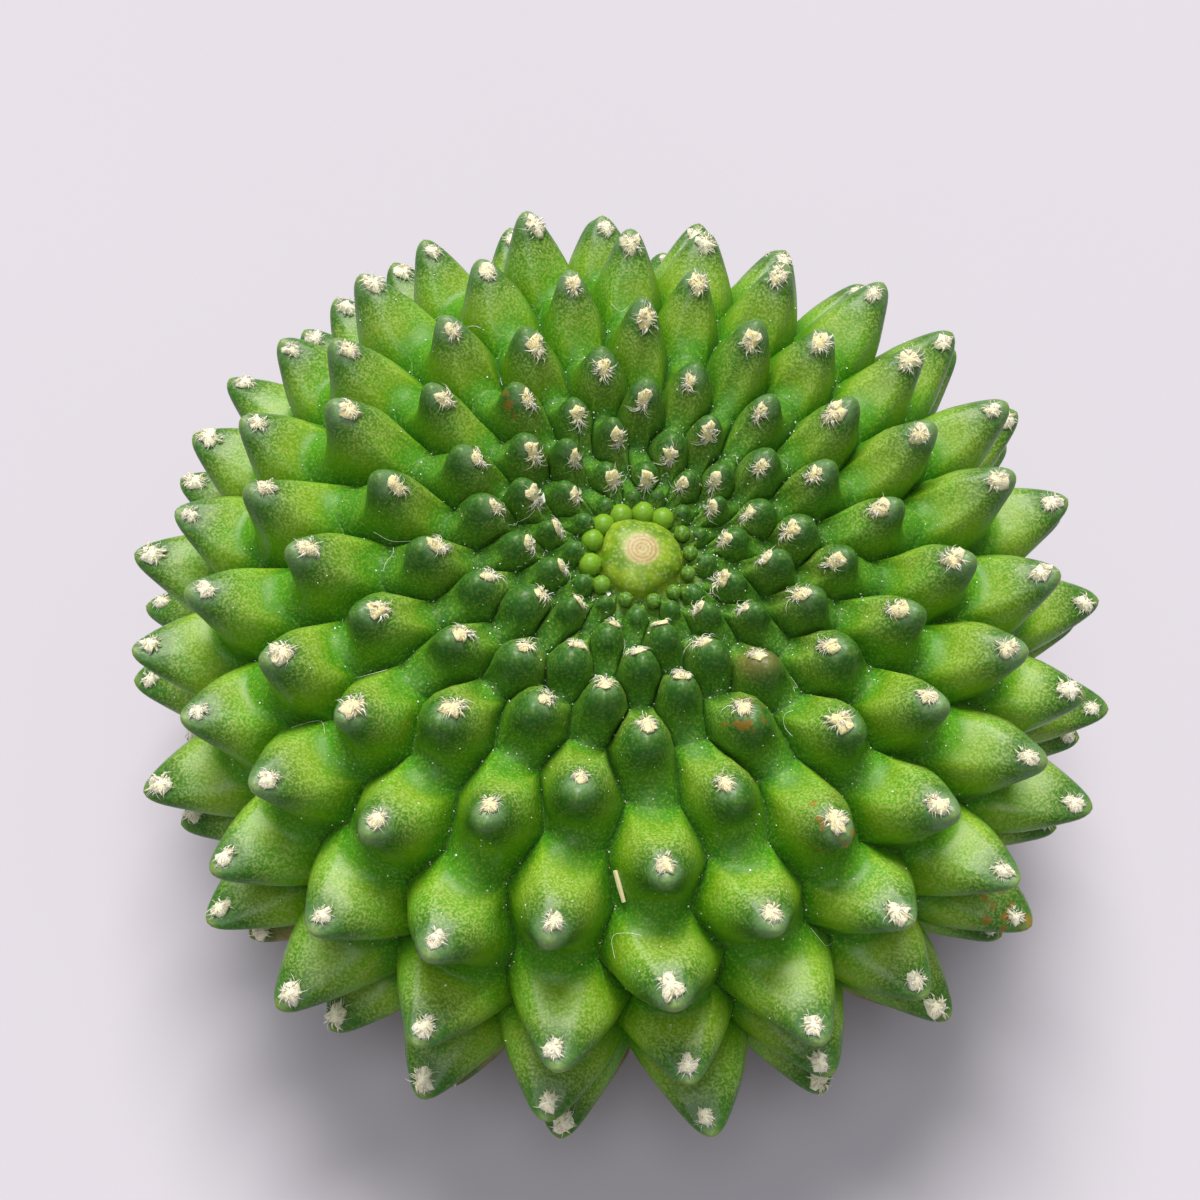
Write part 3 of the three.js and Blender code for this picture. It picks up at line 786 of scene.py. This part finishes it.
pad_points, pad_faces = pads(spot, toward, wide, out, pad)
lock_paths, lock_radii = strands(
    count=12, start=(0.2, 0.9), reach=(0.2, 0.6), lift=(0.0, 0.4), sway=0.7, thick=0.07, steps=4)
hair_paths, hair_radii = strands(
    count=27, start=(0.2, 1.0), reach=(0.25, 0.65), lift=(0.0, 0.6), sway=0.9, thick=0.034,
    steps=4)
lock_points, lock_faces = tubes(lock_paths, lock_radii, LOCK_SIDES)
hair_points, hair_faces = tubes(hair_paths, hair_radii, HAIR_SIDES)
wool_points = np.concatenate([pad_points, lock_points, hair_points])
wool_faces = list(pad_faces)
wool_faces += [[i + len(pad_points) for i in face] for face in lock_faces]
wool_faces += [[i + len(pad_points) + len(lock_points) for i in face] for face in hair_faces]

# How white each pad, lock and hair has weathered.
lock_white = chance.uniform(0.1, 0.9, len(lock_paths))
hair_white = chance.uniform(0.5, 1.0, len(hair_paths))
bristle = np.concatenate([
    np.repeat(0.05 + 0.65 * rim_like, len(pad_points) // len(woolly)),
    np.repeat(lock_white, lock_paths.shape[1] * LOCK_SIDES),
    np.repeat(hair_white, hair_paths.shape[1] * HAIR_SIDES)])
areole_wool = new_piece(
    "areole_wool", wool_points, wool_faces, {"bristle": bristle}, smooth=True)

# Plant wool, felted as it grew: dry, dull and soft-edged, cream in the pads and nearly white in
# the hairs. Its fibres are 0.02 mm thick and are drawn as a coarser grain, so that they show.
FIBRE_MM = 0.16

wool, tree, wool_output = new_material("felted_plant_wool")
place = add_node(tree, "ShaderNodeTexCoord").outputs["Object"]
fibres = add_node(
    tree, "ShaderNodeTexNoise", {"Vector": place, "Scale": 1 / (FIBRE_MM * MM), "Detail": 4.0})
whitened = add_node(tree, "ShaderNodeAttribute", attribute_name="bristle").outputs["Fac"]
wool_colour = painted(
    tree, {"fibres": fibres, "whitened": whitened}, "#e6c870",
    [("#fcf4c6", ("fibres", 0.3, 0.7)), ("#fcf6de", ("whitened",))])
fibre_relief = add_node(
    tree, "ShaderNodeBump", {"Strength": 0.7, "Distance": 0.15 * MM, "Height": fibres})
wool_surface = add_node(
    tree, "ShaderNodeBsdfPrincipled",
    {"Base Color": wool_colour, "Roughness": 0.8, "Normal": fibre_relief, "Sheen Weight": 0.5,
     "Subsurface Weight": 0.5, "Subsurface Radius": (1.0, 0.9, 0.6),
     "Subsurface Scale": 0.5 * MM})
tree.links.new(wool_surface.outputs[0], wool_output.inputs[0])
areole_wool.data.materials.append(wool)
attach(areole_wool, "root")


# ---- Dust and threads ------------------------------------------------------------------------
# What gathers on a plant grown indoors: specks of white dust in its grooves, loose threads of old
# wool, two flat flecks of hard-water scale by the crown, and one dry stalk caught on the front.

# Radii, lifts and sizes are in mm.
SPECKS = 2200
SPECK_RADIUS = (0.03, 0.1)
SPECK_LIFT = 0.04
SPECK_STEPS = [1, 1, 1, 2, 2, 3, 5, 7]  # most specks lie low on the walls
THREADS = 40
THREAD_TUBERCLES = (PER_ROW, 11 * PER_ROW)  # between the crown and the rim
THREAD_STEPS = (1, 5)
THREAD_LIFT = (0.1, 0.5)
THREAD_CORNERS = 4
THREAD_SPREAD = 0.15
THREAD_RADIUS = 0.013
THREAD_SIDES = 3
FLECKS = np.array([(32, 6, 15), (9, 4, 15)])  # tubercle, step and column
FLECK_SIZES = np.array([(0.5, 0.3, 0.06), (0.45, 0.3, 0.06)])
STALK = (88, 3, [19, 21])  # tubercle, step and the columns of its ends
STALK_LIFT = 0.35
STALK_RADII = np.array([[0.17, 0.19, 0.15]])
STALK_SIDES = 5


def curl(paths):
    """Paths with their corners cut off."""
    near = 0.75 * paths[:, :-1] + 0.25 * paths[:, 1:]
    far = 0.25 * paths[:, :-1] + 0.75 * paths[:, 1:]
    cut = np.stack([near, far], 2).reshape(len(paths), -1, 3)
    return np.concatenate([paths[:, :1], cut, paths[:, -1:]], 1)


def crumbs(middle, out, size):
    """Crumbs with six uneven corners; size is each crumb's length, width and thickness."""
    one = unit(np.cross(out, chance.normal(size=out.shape)))
    two = np.cross(out, one)
    corners = np.stack([one, two, -one, -two, out, -out], 1)
    reach = size[:, [0, 1, 0, 1, 2, 2]] * chance.uniform(0.6, 1.3, (len(middle), 6))
    points = middle[:, None] + reach[..., None] * corners
    upper = [[i, (i + 1) % 4, 4] for i in range(4)]
    under = [[(i + 1) % 4, i, 5] for i in range(4)]
    faces = np.array(upper + under) + 6 * np.arange(len(middle))[:, None, None]
    return points.reshape(-1, 3), faces.reshape(-1, 3).tolist()


away = unit(areole_out + axis)
n = chance.integers(len(ring), size=SPECKS)
column = chance.integers(COLUMNS, size=SPECKS)
up_wall = chance.choice(SPECK_STEPS, size=SPECKS)
grit = chance.uniform(*SPECK_RADIUS, SPECKS)
breadth = chance.uniform(0.5, 1, SPECKS)
speck_size = grit[:, None] * np.stack([1 + 0 * grit, breadth, 0.7 + 0 * grit], -1)
speck_points, speck_faces = crumbs(
    walls[n, up_wall, column] + SPECK_LIFT * away[n], away[n], speck_size)

n = chance.integers(*THREAD_TUBERCLES, size=THREADS)
first = chance.integers(COLUMNS, size=THREADS)
thread_paths = np.stack([
    walls[n, chance.integers(*THREAD_STEPS, THREADS), (first + u) % COLUMNS]
    + away[n] * chance.uniform(*THREAD_LIFT, (THREADS, 1))
    + chance.normal(0, THREAD_SPREAD, (THREADS, 3)) for u in range(THREAD_CORNERS)], 1)
thread_paths = curl(curl(thread_paths))
thread_points, thread_faces = tubes(
    thread_paths, np.full(thread_paths.shape[:2], THREAD_RADIUS), THREAD_SIDES)

# The flecks lie on two tubercles near the crown, and the stalk across a front one.
n, level, column = FLECKS.T
fleck_points, fleck_faces = crumbs(walls[n, level, column], away[n], FLECK_SIZES)
stalk_ends = walls[STALK] + STALK_LIFT * away[STALK[0]]
stalk_path = np.array([[stalk_ends[0], stalk_ends.mean(0), stalk_ends[1]]])
stalk_points, stalk_faces = tubes(stalk_path, STALK_RADII, STALK_SIDES)
dust_points = np.concatenate([speck_points, thread_points, fleck_points, stalk_points])
dust_faces = speck_faces + [[i + len(speck_points) for i in face] for face in thread_faces]
dust_faces += [[i + len(speck_points) + len(thread_points) for i in face] for face in fleck_faces]
stalk_start = len(dust_points) - len(stalk_points)
dust_faces += [[i + stalk_start for i in face] for face in stalk_faces]
straw = np.repeat([0.0, 1.0], [stalk_start, len(stalk_points)])
groove_dust = new_piece("groove_dust", dust_points, dust_faces, {"straw": straw}, smooth=False)

# House dust and dried lime: dull, chalky and a little uneven in its white. The stalk among it is
# dry straw, which is as dull but warmer.
CHALK_GRAIN_MM = 0.3

dust, tree, dust_output = new_material("chalky_house_dust")
place = add_node(tree, "ShaderNodeTexCoord").outputs["Object"]
chalk = add_node(
    tree, "ShaderNodeTexNoise",
    {"Vector": place, "Scale": 1 / (CHALK_GRAIN_MM * MM), "Detail": 2.0})
strawy = add_node(tree, "ShaderNodeAttribute", attribute_name="straw").outputs["Fac"]
dust_colour = painted(
    tree, {"chalk": chalk, "strawy": strawy}, "#f0eee4",
    [("#fdfdfa", ("chalk", 0.3, 0.7)), ("#efe2ae", ("strawy",))])
dust_surface = add_node(
    tree, "ShaderNodeBsdfPrincipled", {"Base Color": dust_colour, "Roughness": 0.9})
tree.links.new(dust_surface.outputs[0], dust_output.inputs[0])
groove_dust.data.materials.append(dust)
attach(groove_dust, "root")
